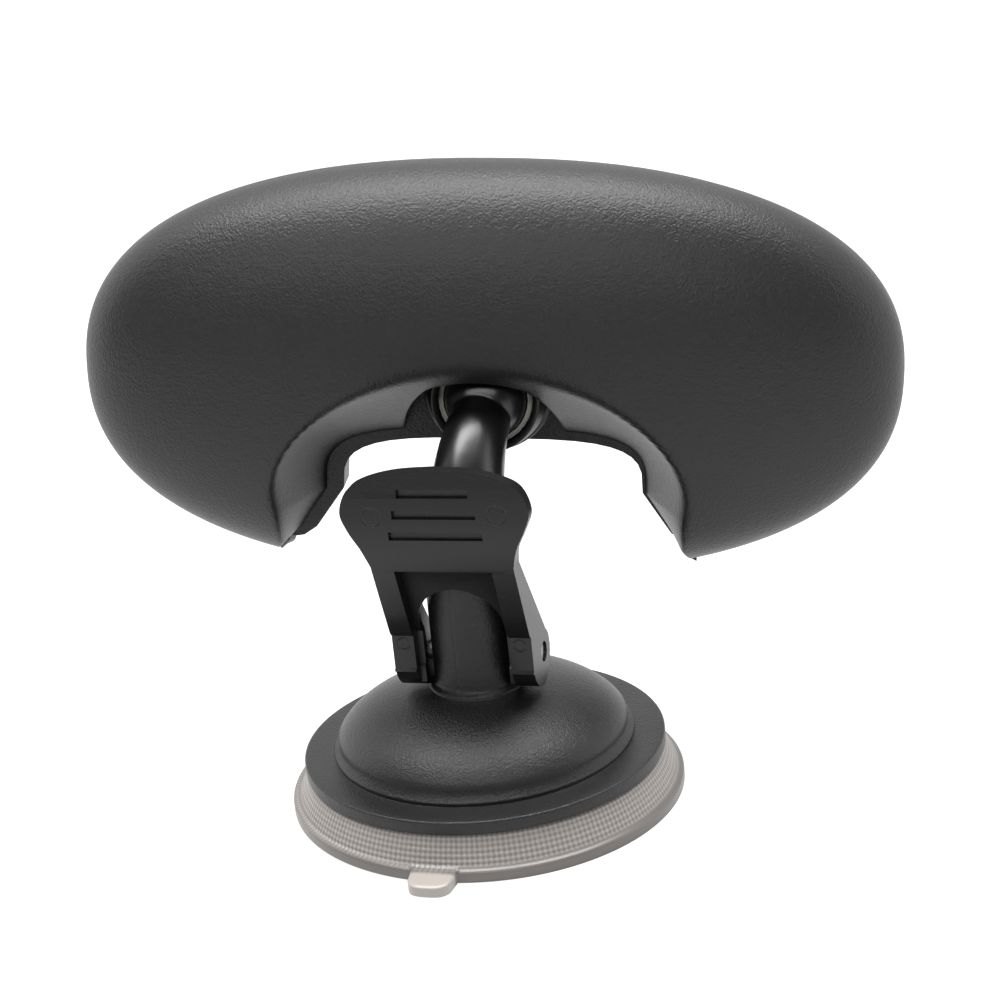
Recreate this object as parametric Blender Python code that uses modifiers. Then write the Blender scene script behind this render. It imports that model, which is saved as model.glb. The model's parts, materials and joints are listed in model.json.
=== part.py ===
"""Wide-angle interior mirror on a lever-locked suction mount.

Run with: blender --background --python part.py. Blender works in metres; the sizes below are
written in millimetres times MM. The origin is the centre of the suction face, +Z runs up the
stem, the locking lever stands on the -Y side and the mirror looks towards +Y.
"""

import math

import bmesh
import bpy
from mathutils import Matrix, Vector

MM = 0.001
GAP = 0.3 * MM            # between pieces that touch
RUNNING = 0.3 * MM        # round a piece that turns or slides

# Suction cup
CUP_RADIUS = 42.5 * MM
CUP_RIM = 2.3 * MM
CUP_HEIGHT = 8.8 * MM
CUP_SHOULDER = 38.2 * MM
CUP_SEAT = 31.0 * MM
CUP_FLOOR = 4.0 * MM
TAB_WIDTH = 9.5 * MM
TAB_LENGTH = 6.0 * MM
TAB_THICKNESS = 1.4 * MM

# Insert held in the middle of the cup
INSERT_RADIUS = 8.1 * MM
INSERT_BOTTOM = 1.8 * MM
INSERT_THICKNESS = 2.6 * MM
INSERT_NECK = 4.0 * MM
STUD_RADIUS = 2.4 * MM
STUD_TOP = 12.0 * MM

# Base moulding: flange, dome and stem in one piece
FLANGE_RADIUS = 39.0 * MM
FLANGE_THICKNESS = 2.9 * MM
DOME_RADIUS = 32.0 * MM
DOME_FOOT = 0.8 * MM
DOME_RISE = 13.2 * MM
BASE_WALL = 2.2 * MM
STEM_RADIUS = 9.0 * MM
STEM_TOP = 53.0 * MM
STEM_BORE = 5.2 * MM
SPRING_CAVITY = 9.0 * MM

# Plunger, its spring and the lever pin
ROD_RADIUS = STEM_BORE - 2 * RUNNING
PLUNGER_FOOT_RADIUS = 8.5 * MM
PLUNGER_FOOT_BOTTOM = 6.8 * MM
PLUNGER_FOOT_THICKNESS = 1.5 * MM
PLUNGER_LIFT = 2.3 * MM
PIN_HEIGHT = 32.5 * MM
PIN_RADIUS = 1.9 * MM
ROD_ABOVE_PIN = 5.3 * MM
SPRING_RADIUS = 6.9 * MM
SPRING_WIRE = 0.6 * MM
SPRING_TURNS = 5

# Lever
LEVER_TURN = math.radians(80)
LEG_HALF_WIDTH = 15.2 * MM
EAR_THICKNESS = 5.4 * MM
EAR_RADIUS = 4.9 * MM
CAM_GAP = 0.6 * MM
LEG_FACE = 9.5 * MM
TOE_TOP = 31.4 * MM
TOE_STEP = 0.6 * MM
BLOCK_TOP = 39.4 * MM
LEVER_SKIN = 2.8 * MM
WEB_SETBACK = 2.8 * MM
WEB_THICKNESS = 1.8 * MM
WINDOW_HALF_WIDTH = 10.4 * MM
WINDOW_TOP = 57.0 * MM
ARCH_HALF_WIDTH = 9.2 * MM
ARCH_TOP = 51.0 * MM
PADDLE_TOP = 79.2 * MM
GROOVE_HEIGHT = 1.8 * MM
GROOVE_DEPTH = 1.0 * MM

# Arm and ball
ARM_BEND_RADIUS = 31.0 * MM
ARM_BEND = math.radians(65)
ARM_END_RADIUS = 6.3 * MM
BALL_RADIUS = 9.0 * MM
BALL = Vector((0.0, 26.3 * MM, 80.3 * MM))
SPIGOT_LENGTH = 9.0 * MM
ARM_SCREW_HEIGHT = 46.0 * MM
ARM_SCREW_RADIUS = 1.4 * MM
ARM_SCREW_HEAD = 2.6 * MM

# Head pose about the ball: at zero the mirror faces +Y
HEAD_YAW = math.radians(10.2)
HEAD_TILT = math.radians(0.0)
HEAD_ROLL = math.radians(-4.8)

# Head, in its own frame: x across, y up, z out of the back, origin at the ball
HEAD_HALF_WIDTH = 90.4 * MM
HEAD_HALF_HEIGHT = 46.8 * MM
HEAD_CENTRE = 3.0 * MM
HEAD_SQUARENESS = 2.34
HOUSING_RIM = -13.0 * MM
HOUSING_DEPTH = 27.0 * MM
HOUSING_WALL = 2.2 * MM
NOTCH_FRONT = (36.0 * MM, -11.4 * MM, -26.0 * MM)   # half width, top, height of the flare
NOTCH_SHIFT = -1.6 * MM
NOTCH_BACK = (46.0 * MM, 8.3 * MM, -24.5 * MM)
NOTCH_FLARE = ((6.5 * MM, 9.5 * MM), (12.5 * MM, 13.8 * MM), (20.0 * MM, 15.5 * MM))  # out, down
FRAME_STEP = 2.2 * MM                 # the frame shows this far inside the housing's notch
FRAME_INSET = 1.6 * MM                # and lies this far inside its outline
RELIEF_RADIUS = 21.5 * MM
RELIEF_SLOPE = 2.0
RELIEF_DEPTH = 24.0 * MM

FRAME_FLOOR = -16.5 * MM
FRAME_FRONT = -19.0 * MM
FRAME_BORDER = 3.2 * MM
GLASS_THICKNESS = 2.0 * MM
GLASS_CURVE = 1400.0 * MM
PAD_HALF_WIDTH = 58.0 * MM
PAD_HALF_HEIGHT = 34.0 * MM

# Ball socket
LINER_THICKNESS = 1.0 * MM
LINER_FRONT, LINER_BACK = -3.0 * MM, 1.5 * MM
COLLAR_RADIUS = 14.5 * MM
COLLAR_SHOULDER = 13.2 * MM
COLLAR_LIP_RADIUS = 11.8 * MM
COLLAR_LIP = 2.6 * MM
CUP_SEAT_RADIUS = 6.6 * MM
PRESSURE_FRONT = -12.0 * MM
PRESSURE_BACK = -7.5 * MM
POCKET_RADIUS = 7.4 * MM
POCKET_FLOOR = -15.6 * MM
PRESSURE_WIRE = 0.35 * MM

# Screws
HOUSING_SCREWS = [(x * MM, y * MM) for x, y in ((-45, 30), (45, 30), (-68, -14), (68, -14))]
SCREW_RADIUS = 1.3 * MM
SCREW_HEAD = 2.6 * MM
SCREW_HEAD_HEIGHT = 1.2 * MM
SCREW_TIP = -5.0 * MM
BOSS_RADIUS = 3.6 * MM
COLLAR_SCREW_CIRCLE = 12.0 * MM
COLLAR_SCREW_RADIUS = 0.8 * MM
COLLAR_SCREW_HEAD = 1.7 * MM
COLLAR_SCREW_TIP = -8.0 * MM

FLANGE_BOTTOM = CUP_HEIGHT + GAP
FLANGE_TOP = FLANGE_BOTTOM + FLANGE_THICKNESS
DOME_BASE = FLANGE_TOP + DOME_FOOT
SPRING_CEILING = DOME_BASE + DOME_RISE - BASE_WALL - 0.6 * MM


# ------------------------------------------------------------------ helpers

def new_collection(name):
    group = bpy.data.collections.new(name)
    bpy.context.scene.collection.children.link(group)
    return group


def finish(name, colour, roughness, metallic=0.0):
    """One Principled BSDF material."""
    material = bpy.data.materials.new(name)
    material.use_nodes = True
    shader = material.node_tree.nodes["Principled BSDF"]
    shader.inputs["Base Color"].default_value = (*colour, 1.0)
    shader.inputs["Roughness"].default_value = roughness
    shader.inputs["Metallic"].default_value = metallic
    return material


def place(name, mesh, material=None, parent=None):
    """A part when it has a material, otherwise a hidden cutter."""
    obj = bpy.data.objects.new(name, mesh)
    if material:
        PARTS.objects.link(obj)
        mesh.materials.append(material)
    else:
        CUTTERS.objects.link(obj)
        obj.hide_render = True
        obj.display_type = "WIRE"
    obj.parent = parent
    return obj


def from_bmesh(name, shape, material=None, parent=None):
    mesh = bpy.data.meshes.new(name)
    bmesh.ops.recalc_face_normals(shape, faces=shape.faces)
    shape.to_mesh(mesh)
    shape.free()
    mesh.shade_smooth()
    mesh.set_sharp_from_angle(angle=math.radians(35))
    return place(name, mesh, material, parent)


def turned(name, profile, material=None, parent=None, ring=False, steps=32):
    """A profile of (radius, height) turned about Z; a ring's profile closes on itself."""
    last = len(profile) - 1
    edges = [(i, i + 1) for i in range(last)] + ([(last, 0)] if ring else [])
    mesh = bpy.data.meshes.new(name)
    mesh.from_pydata([(r, 0.0, z) for r, z in profile], edges, [])
    obj = place(name, mesh, material, parent)
    screw = obj.modifiers.new("turn", "SCREW")
    screw.steps = screw.render_steps = steps
    screw.use_merge_vertices = True
    screw.merge_threshold = 0.000001
    return obj


def cylinder(name, radius, low, high, centre=(0.0, 0.0), axis="Z", segments=32,
             material=None, parent=None):
    """A cylinder from low to high along an axis; centre is on the other two axes, in order."""
    shape = bmesh.new()
    bmesh.ops.create_cone(shape, cap_ends=True, segments=segments, radius1=radius,
                          radius2=radius, depth=high - low)
    middle = (low + high) / 2
    if axis == "X":
        turn, offset = Matrix.Rotation(math.pi / 2, 4, "Y"), (middle, *centre)
    elif axis == "Y":
        turn, offset = Matrix.Rotation(math.pi / 2, 4, "X"), (centre[0], middle, centre[1])
    else:
        turn, offset = Matrix.Identity(4), (*centre, middle)
    bmesh.ops.transform(shape, matrix=Matrix.Translation(offset) @ turn, verts=shape.verts)
    return from_bmesh(name, shape, material, parent)


def box(name, low, high, parent=None):
    shape = bmesh.new()
    size = Vector(high) - Vector(low)
    bmesh.ops.create_cube(shape, size=1.0, matrix=Matrix.Translation((Vector(low) + Vector(high)) / 2)
                          @ Matrix.Diagonal((*size, 1.0)))
    return from_bmesh(name, shape, parent=parent)


def curve_mesh(name, curve, material=None, parent=None):
    """A curve made a welded mesh, so that it can be cut and joined."""
    guide = bpy.data.objects.new(name + "_curve", curve)
    CUTTERS.objects.link(guide)
    bpy.context.view_layer.update()
    evaluated = guide.evaluated_get(bpy.context.evaluated_depsgraph_get())
    mesh = bpy.data.meshes.new_from_object(evaluated)
    bpy.data.objects.remove(guide)
    shape = bmesh.new()
    shape.from_mesh(mesh)
    bpy.data.meshes.remove(mesh)
    bmesh.ops.remove_doubles(shape, verts=shape.verts, dist=0.000001)
    return from_bmesh(name, shape, material, parent)


def prism(name, outline, low, high, axis="Z", material=None, parent=None):
    """A flat outline extruded along an axis: (x, y) along Z, (x, z) along Y or (y, z) along X."""
    curve = bpy.data.curves.new(name, "CURVE")
    curve.dimensions = "2D"
    curve.fill_mode = "BOTH"
    curve.extrude = (high - low) / 2
    spline = curve.splines.new("POLY")
    spline.points.add(len(outline) - 1)
    for point, (u, v) in zip(spline.points, outline):
        point.co = (u, v, 0.0, 1.0)
    spline.use_cyclic_u = True
    obj = curve_mesh(name, curve, material, parent)
    middle = (low + high) / 2
    stand = {"Z": Matrix.Identity(4),
             "Y": Matrix.Rotation(math.pi / 2, 4, "X"),
             "X": Matrix(((0, 0, 1, 0), (1, 0, 0, 0), (0, 1, 0, 0), (0, 0, 0, 1)))}[axis]
    offset = {"Z": (0, 0, middle), "Y": (0, middle, 0), "X": (middle, 0, 0)}[axis]
    obj.data.transform(Matrix.Translation(offset) @ stand)
    return obj


def wire(name, points, radius, resolution, material=None, parent=None, taper=None):
    """A round bar along points; taper gives the radius at each point as a share of radius."""
    curve = bpy.data.curves.new(name, "CURVE")
    curve.dimensions = "3D"
    curve.bevel_depth = radius
    curve.bevel_resolution = resolution
    curve.use_fill_caps = True
    spline = curve.splines.new("POLY")
    spline.points.add(len(points) - 1)
    for i, (point, place_at) in enumerate(zip(spline.points, points)):
        point.co = (*place_at, 1.0)
        point.radius = taper[i] if taper else 1.0
    return curve_mesh(name, curve, material, parent)


def cut(body, *tools, operation="DIFFERENCE"):
    """Adds one exact Boolean for each tool."""
    for tool in tools:
        boolean = body.modifiers.new(tool.name, "BOOLEAN")
        boolean.operation = operation
        boolean.object = tool
    return body


def join(body, *tools):
    return cut(body, *tools, operation="UNION")


def coil(radius, low, high, turns, per_turn=14):
    """Points along a helix about Z."""
    count = int(turns * per_turn)
    return [(radius * math.cos(2 * math.pi * i / per_turn),
             radius * math.sin(2 * math.pi * i / per_turn),
             low + (high - low) * i / count) for i in range(count + 1)]


def smooth(points, per_span=4):
    """Points on a Catmull-Rom curve through the given ones."""
    ends = [points[0], *points, points[-1]]
    found = []
    for a, b, c, d in zip(ends, ends[1:], ends[2:], ends[3:]):
        for i in range(per_span):
            t = i / per_span
            found.append(tuple(
                0.5 * (2 * q + (r - p) * t + (2 * p - 5 * q + 4 * r - s) * t ** 2
                       + (3 * q - p - 3 * r + s) * t ** 3)
                for p, q, r, s in zip(a, b, c, d)))
    return found + [points[-1]]


def arc(centre, radius, start, end, count):
    """Points on an arc, angles in degrees from the first axis."""
    turns = [math.radians(start + (end - start) * i / count) for i in range(count + 1)]
    return [(centre[0] + radius * math.cos(t), centre[1] + radius * math.sin(t)) for t in turns]


def power(value, exponent):
    """A signed power, for superellipses."""
    return math.copysign(abs(value) ** exponent, value)


# ------------------------------------------------------------------ base

def suction_cup(material):
    """Soft bell with a flat face, a thick rim and a pull tab below the lever."""
    pocket = INSERT_RADIUS + GAP
    ring = pocket + 1.1 * MM
    body = turned("suction_cup", [
        (0.0, INSERT_BOTTOM - GAP), (pocket, INSERT_BOTTOM - GAP), (pocket, CUP_FLOOR + 1.0 * MM),
        (ring, CUP_FLOOR + 1.0 * MM), (ring, CUP_FLOOR), (CUP_SEAT - 4.0 * MM, CUP_FLOOR),
        (CUP_SEAT, CUP_HEIGHT), (CUP_SHOULDER, CUP_HEIGHT), (CUP_SHOULDER + 1.4 * MM, 6.2 * MM),
        (CUP_RADIUS - 1.2 * MM, CUP_RIM + 0.5 * MM), (CUP_RADIUS - 0.3 * MM, CUP_RIM),
        (CUP_RADIUS, CUP_RIM - 0.4 * MM), (CUP_RADIUS, 0.0), (0.0, 0.0)], material, steps=48)
    corner = TAB_WIDTH / 3
    tip = -CUP_RADIUS - TAB_LENGTH
    outline = ([(TAB_WIDTH / 2, -CUP_RADIUS + 2 * MM), (-TAB_WIDTH / 2, -CUP_RADIUS + 2 * MM)]
               + arc((corner - TAB_WIDTH / 2, tip + corner), corner, 180, 270, 6)
               + arc((TAB_WIDTH / 2 - corner, tip + corner), corner, 270, 360, 6))
    tab = prism("cup_tab", outline, CUP_RIM - 0.3 * MM - TAB_THICKNESS, CUP_RIM - 0.3 * MM)
    return join(body, tab)


def cup_insert(material):
    """Stiff disc in the cup's pocket, with the stud that the plunger is screwed on to."""
    top = INSERT_BOTTOM + INSERT_THICKNESS
    neck_top = PLUNGER_FOOT_BOTTOM - GAP
    turned("cup_insert", [
        (0.0, STUD_TOP), (STUD_RADIUS, STUD_TOP), (STUD_RADIUS, neck_top), (INSERT_NECK, neck_top),
        (INSERT_NECK, top), (INSERT_RADIUS, top), (INSERT_RADIUS, INSERT_BOTTOM),
        (0.0, INSERT_BOTTOM)], material, steps=32)


def dome_height(radius, span, rise):
    return rise * math.sqrt(max(0.0, 1.0 - (radius / span) ** 2))


def base_shell(material):
    """Flange, dome and stem, hollow for the plunger and open below."""
    inner_span = DOME_RADIUS - BASE_WALL
    inner_base = SPRING_CEILING - dome_height(SPRING_CAVITY, inner_span, DOME_RISE)
    steps = 7
    outer = []
    for i in range(steps + 1):
        radius = STEM_RADIUS + (DOME_RADIUS - STEM_RADIUS) * math.sin(math.pi / 2 * i / steps)
        outer.append((radius, DOME_BASE + dome_height(radius, DOME_RADIUS, DOME_RISE)))
    inner = []
    for i in range(steps + 1):
        radius = SPRING_CAVITY + (inner_span - SPRING_CAVITY) * math.cos(math.pi / 2 * i / steps)
        inner.append((radius, inner_base + dome_height(radius, inner_span, DOME_RISE)))
    profile = ([(STEM_BORE, STEM_TOP), (STEM_RADIUS, STEM_TOP)] + outer
               + [(DOME_RADIUS + 0.6 * MM, FLANGE_TOP), (FLANGE_RADIUS, FLANGE_TOP),
                  (FLANGE_RADIUS, FLANGE_BOTTOM), (inner_span, FLANGE_BOTTOM)]
               + inner + [(STEM_BORE, SPRING_CEILING)])
    body = turned("base_shell", profile, material, ring=True, steps=40)
    half = PIN_RADIUS + RUNNING
    slot = box("pin_slot", (-2 * STEM_RADIUS, -half, PIN_HEIGHT - half),
               (2 * STEM_RADIUS, half, PIN_HEIGHT + PLUNGER_LIFT + half))
    hole = cylinder("arm_screw_hole", ARM_SCREW_RADIUS + GAP, STEM_BORE / 2, 2 * STEM_RADIUS,
                    (0.0, ARM_SCREW_HEIGHT), "Y", 20)
    return cut(body, slot, hole)


def plunger(material):
    """Foot on the cup insert and a rod up the stem, cross-drilled for the lever pin."""
    bore = STUD_RADIUS + GAP
    foot_top = PLUNGER_FOOT_BOTTOM + PLUNGER_FOOT_THICKNESS
    top = PIN_HEIGHT + ROD_ABOVE_PIN
    body = turned("plunger", [
        (0.0, top), (ROD_RADIUS - 0.8 * MM, top), (ROD_RADIUS, top - 0.8 * MM),
        (ROD_RADIUS, foot_top), (PLUNGER_FOOT_RADIUS, foot_top),
        (PLUNGER_FOOT_RADIUS, PLUNGER_FOOT_BOTTOM), (bore, PLUNGER_FOOT_BOTTOM),
        (bore, STUD_TOP + GAP), (0.0, STUD_TOP + GAP)], material, steps=32)
    return cut(body, cylinder("plunger_eye", PIN_RADIUS + GAP, -2 * ROD_RADIUS, 2 * ROD_RADIUS,
                              (0.0, PIN_HEIGHT), "X", 24))


def plunger_spring(material):
    low = PLUNGER_FOOT_BOTTOM + PLUNGER_FOOT_THICKNESS + GAP + SPRING_WIRE
    high = SPRING_CEILING - GAP - SPRING_WIRE
    wire("plunger_spring", coil(SPRING_RADIUS, low, high, SPRING_TURNS), SPRING_WIRE, 1, material)


# ------------------------------------------------------------------ lever

def lever_front():
    """Front face of the lever in the YZ plane, from above the cam up to the paddle's top edge."""
    knots = [(-9.7, 40.2), (-13.5, 50.0), (-17.0, 59.5), (-18.3, 65.5),
             (-18.0, 72.0), (-17.0, PADDLE_TOP / MM)]
    block = -LEG_FACE + TOE_STEP
    return ([(-LEG_FACE, TOE_TOP), (block, TOE_TOP + TOE_STEP), (block, BLOCK_TOP)]
            + smooth([(y * MM, z * MM) for y, z in knots], 5))


def lever_side():
    """Side outline: a cam that grows at an even rate, the front face, and the ears' back edge."""
    ear_x = LEG_HALF_WIDTH - EAR_THICKNESS
    dome = DOME_BASE + dome_height(ear_x, DOME_RADIUS, DOME_RISE)
    rest = PIN_HEIGHT - dome - CAM_GAP
    steps = 18
    cam = []
    for i in range(steps + 1):
        turn = LEVER_TURN * i / steps
        radius = rest + PLUNGER_LIFT * i / steps
        if radius * math.sin(turn) < LEG_FACE:
            cam.append((-radius * math.sin(turn), PIN_HEIGHT - radius * math.cos(turn)))
    front = lever_front()
    back = [(y + LEVER_SKIN, z) for y, z in front[::-1] if z > 61.0 * MM]
    ear = arc((0.0, PIN_HEIGHT), EAR_RADIUS, 55, -30, 12)
    heel = [(0.55 * EAR_RADIUS, PIN_HEIGHT - 0.8 * rest)]
    return cam + front + back + ear + heel


def lever_paddle():
    """Front outline: parallel legs that widen into a rounded thumb paddle."""
    half = smooth([(0.0, PADDLE_TOP), (8.0 * MM, 78.7 * MM), (14.5 * MM, 77.2 * MM),
                   (18.2 * MM, 75.0 * MM), (19.9 * MM, 70.6 * MM), (18.7 * MM, 66.8 * MM),
                   (16.5 * MM, 62.4 * MM), (LEG_HALF_WIDTH, 58.0 * MM)], 5)
    right = half + [(LEG_HALF_WIDTH, 0.0)]
    return right + [(-x, z) for x, z in right[::-1] if x > 0.0]


def behind_front(name, half_width, near, far):
    """A cutter between two depths behind the lever's front face, from the feet up to the window."""
    line = [(y, z) for y, z in lever_front() if z < WINDOW_TOP]
    foot = (-LEG_FACE, 0.0)
    edge = [foot, *line, (line[-1][0] - 0.9 * MM, WINDOW_TOP)]
    near_edge = [(y + near, z) for y, z in edge]
    far_edge = [(y + far, z) for y, z in edge[::-1]]
    return prism(name, near_edge + far_edge, -half_width, half_width, "X")


def lever(material):
    """Thumb lever: a skin with a window, a set-back web with an arch round the stem, and two ears."""
    body = prism("lever", lever_side(), -2 * LEG_HALF_WIDTH, 2 * LEG_HALF_WIDTH, "X", material)
    paddle = prism("lever_outline", lever_paddle(), -60 * MM, 60 * MM, "Y")
    cut(body, paddle, operation="INTERSECT")
    window = behind_front("lever_window", WINDOW_HALF_WIDTH, -10 * MM, WEB_SETBACK)
    hollow = behind_front("lever_hollow", LEG_HALF_WIDTH - EAR_THICKNESS,
                          WEB_SETBACK + WEB_THICKNESS, 60 * MM)
    arch_outline = ([(ARCH_HALF_WIDTH, 0.0)]
                    + arc((0.0, ARCH_TOP - ARCH_HALF_WIDTH), ARCH_HALF_WIDTH, 0, 180, 16)
                    + [(-ARCH_HALF_WIDTH, 0.0)])
    arch = prism("lever_arch", arch_outline, -60 * MM, 60 * MM, "Y")
    eye = cylinder("lever_eye", PIN_RADIUS + GAP, -2 * LEG_HALF_WIDTH, 2 * LEG_HALF_WIDTH,
                   (0.0, PIN_HEIGHT), "X", 24)
    faces = (-17.8 * MM, -18.25 * MM, -18.3 * MM)
    for i, (half_length, height) in enumerate(((7.5, 74.45), (8.8, 70.1), (9.9, 65.55))):
        groove = box(f"lever_groove_{i + 1}",
                     (-half_length * MM, -40 * MM, height * MM - GROOVE_HEIGHT / 2),
                     (half_length * MM, faces[i] + GROOVE_DEPTH, height * MM + GROOVE_HEIGHT / 2))
        cut(body, groove)
    return cut(body, window, hollow, arch, eye)


# ------------------------------------------------------------------ arm

def arm_path():
    """Straight up inside the stem's top, round the bend and on into the ball."""
    points = [(0.0, 0.0, STEM_TOP - 8 * MM)]
    steps = 10
    bend_from = BALL.z - ARM_BEND_RADIUS * math.sin(ARM_BEND) - (
        BALL.y - ARM_BEND_RADIUS * (1 - math.cos(ARM_BEND))) / math.tan(ARM_BEND)
    for i in range(steps + 1):
        turn = ARM_BEND * i / steps
        points.append((0.0, ARM_BEND_RADIUS * (1 - math.cos(turn)),
                       bend_from + ARM_BEND_RADIUS * math.sin(turn)))
    return points + [tuple(BALL)]


def ball_arm(material):
    """Bent arm with its ball and the spigot that plugs into the stem."""
    points = arm_path()
    last = len(points) - 1
    end_share = ARM_END_RADIUS / STEM_RADIUS
    taper = [1.0 + (end_share - 1.0) * (i / last) for i in range(last + 1)]
    body = wire("ball_arm", points, STEM_RADIUS, 5, material, taper=taper)
    sphere = bmesh.new()
    bmesh.ops.create_uvsphere(sphere, u_segments=28, v_segments=14, radius=BALL_RADIUS)
    bmesh.ops.translate(sphere, vec=BALL, verts=sphere.verts)
    ball = from_bmesh("arm_ball", sphere)
    spigot = cylinder("arm_spigot", STEM_BORE - RUNNING, STEM_TOP - SPIGOT_LENGTH,
                      STEM_TOP + 3 * MM)
    cut(body, box("arm_foot", (-0.05, -0.05, 0.0), (0.05, 0.05, STEM_TOP + GAP)))
    join(body, ball, spigot)
    return cut(body, cylinder("arm_pilot", ARM_SCREW_RADIUS + GAP, -1.5 * MM, 2 * STEM_RADIUS,
                              (0.0, ARM_SCREW_HEIGHT), "Y", 20))


def screw(name, radius, head, head_height, seat, tip, centre=(0.0, 0.0), parent=None,
          material=None):
    """A pan-head screw along Z: the head lies below seat and the shank runs up to tip."""
    body = cylinder(name, head, seat - head_height, seat, centre, "Z", 20, material, parent)
    shank = cylinder(name + "_shank", radius, seat - head_height / 2, tip, centre, "Z", 16,
                     parent=parent)
    driver = cylinder(name + "_driver", 0.5 * head, seat - 1.5 * head_height,
                      seat - 0.6 * head_height, centre, "Z", 6, parent=parent)
    join(body, shank)
    return cut(body, driver)


def arm_screw(material):
    """Holds the spigot in the stem, from the back."""
    body = screw("arm_screw", ARM_SCREW_RADIUS, ARM_SCREW_HEAD, 1.6 * MM, 0.0,
                 STEM_RADIUS + 0.5 * MM, material=material)
    for piece in [body] + [m.object for m in body.modifiers]:
        piece.data.transform(Matrix.Translation((0.0, STEM_RADIUS + GAP, ARM_SCREW_HEIGHT))
                             @ Matrix.Rotation(math.pi / 2, 4, "X"))


# ------------------------------------------------------------------ head shell

def head_outline(grow=0.0, count=120):
    """The head's superellipse, moved out by grow."""
    share = 2.0 / HEAD_SQUARENESS
    turns = [2 * math.pi * i / count for i in range(count)]
    return [((HEAD_HALF_WIDTH + grow) * power(math.cos(t), share),
             HEAD_CENTRE + (HEAD_HALF_HEIGHT + grow) * power(math.sin(t), share)) for t in turns]


def dome(name, grow, rim, top, material=None, parent=None):
    """A superelliptic dome: a half sphere whose sections are stretched by powers."""
    shape = bmesh.new()
    bmesh.ops.create_uvsphere(shape, u_segments=52, v_segments=18, radius=1.0)
    bmesh.ops.bisect_plane(shape, geom=shape.verts[:] + shape.edges[:] + shape.faces[:],
                           plane_co=(0, 0, 0), plane_no=(0, 0, -1), clear_outer=True)
    bmesh.ops.holes_fill(shape, edges=[e for e in shape.edges if e.is_boundary])
    share = 2.0 / HEAD_SQUARENESS
    for vert in shape.verts:
        x, y, z = vert.co
        flat = math.hypot(x, y)
        cosine, sine = (x / flat, y / flat) if flat > 1e-9 else (0.0, 0.0)
        reach = flat ** share
        vert.co = ((HEAD_HALF_WIDTH + grow) * power(cosine, share) * reach,
                   HEAD_CENTRE + (HEAD_HALF_HEIGHT + grow) * power(sine, share) * reach,
                   rim + (top - rim) * max(z, 0.0) ** share)
    return from_bmesh(name, shape, material, parent)


def notch_ring(share, grow_x, grow_y):
    """The notch at a share of its way from the housing's rim to its back, as an open arch."""
    half, top, flare_at = [a + (b - a) * share for a, b in zip(NOTCH_FRONT, NOTCH_BACK)]
    squareness = 3.6 - 1.6 * min(share, 1.0)
    half, top = half + grow_x, top + grow_y
    flare = [(half + out * max(0.2, 1.0 - share), flare_at - down) for out, down in NOTCH_FLARE]
    points = [(flare[-1][0], -70 * MM)] + flare[::-1]
    steps = 18
    for i in range(steps + 1):
        t = math.pi * i / steps
        points.append((half * power(math.cos(t), 2 / squareness),
                       flare_at + (top - flare_at) * abs(math.sin(t)) ** (2 / squareness)))
    return points + [(-x, y) for x, y in flare] + [(-flare[-1][0], -70 * MM)]


def notch(name, grow_x=0.0, grow_y=0.0, parent=None):
    """Cutter that lofts from the squarish front notch to the round, wider arch at the back."""
    shape = bmesh.new()
    rings = []
    for i in range(9):
        share = -0.1 + 1.4 * i / 8
        height = HOUSING_RIM + share * (HOUSING_DEPTH - 1.5 * MM)
        rings.append([shape.verts.new((x + NOTCH_SHIFT, y, height))
                      for x, y in notch_ring(max(share, 0.0), grow_x, grow_y)])
    for low, high in zip(rings, rings[1:]):
        for i in range(len(low)):
            j = (i + 1) % len(low)
            shape.faces.new((low[i], low[j], high[j], high[i]))
    shape.faces.new(rings[0][::-1])
    shape.faces.new(rings[-1])
    return from_bmesh(name, shape, parent=parent)


def dome_top_at(x, y):
    """Height of the housing's outer face over a point of the head."""
    reach = (abs(x) / HEAD_HALF_WIDTH) ** HEAD_SQUARENESS + (
        abs(y - HEAD_CENTRE) / HEAD_HALF_HEIGHT) ** HEAD_SQUARENESS
    return HOUSING_RIM + HOUSING_DEPTH * max(0.0, 1.0 - reach) ** (1.0 / HEAD_SQUARENESS)


def rear_housing(material, head):
    """Back shell: a dome with the flared notch, bosses for its screws and a hollow for the socket."""
    rim = HOUSING_RIM + GAP
    top = HOUSING_RIM + HOUSING_DEPTH
    body = dome("rear_housing", 0.0, rim, top, material, head)
    cavity = dome("housing_cavity", -HOUSING_WALL, rim - 4 * MM, top - HOUSING_WALL, parent=head)
    cut(cavity, notch("housing_notch_inside", 2.6 * MM, 3.2 * MM, head))
    for i, (x, y) in enumerate(HOUSING_SCREWS):
        cut(cavity, cylinder(f"housing_boss_{i + 1}", BOSS_RADIUS, rim, top, (x, y), "Z", 24,
                             parent=head))
    cut(body, notch("housing_notch", parent=head), cavity)
    flank = [(radius, HOUSING_RIM + min(RELIEF_SLOPE * (RELIEF_RADIUS - radius),
                                        RELIEF_DEPTH * math.sqrt(1 - (radius / 22e-3) ** 2)))
             for radius in [i * RELIEF_RADIUS / 12 for i in range(13)]]
    cut(body, turned("housing_relief", flank + [(RELIEF_RADIUS, HOUSING_RIM - 3 * MM),
                                                (0.0, HOUSING_RIM - 3 * MM)], parent=head))
    for i, centre in enumerate(HOUSING_SCREWS):
        cut(body, cylinder(f"housing_pilot_{i + 1}", SCREW_RADIUS + GAP, rim - 2 * MM,
                           SCREW_TIP + 1 * MM, centre, "Z", 16, parent=head))
    return body


# ------------------------------------------------------------------ mirror

def glass_sag(x, y):
    """How far the convex glass falls back from its middle."""
    return (x ** 2 + (y - HEAD_CENTRE) ** 2) / (2 * GLASS_CURVE)


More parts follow.
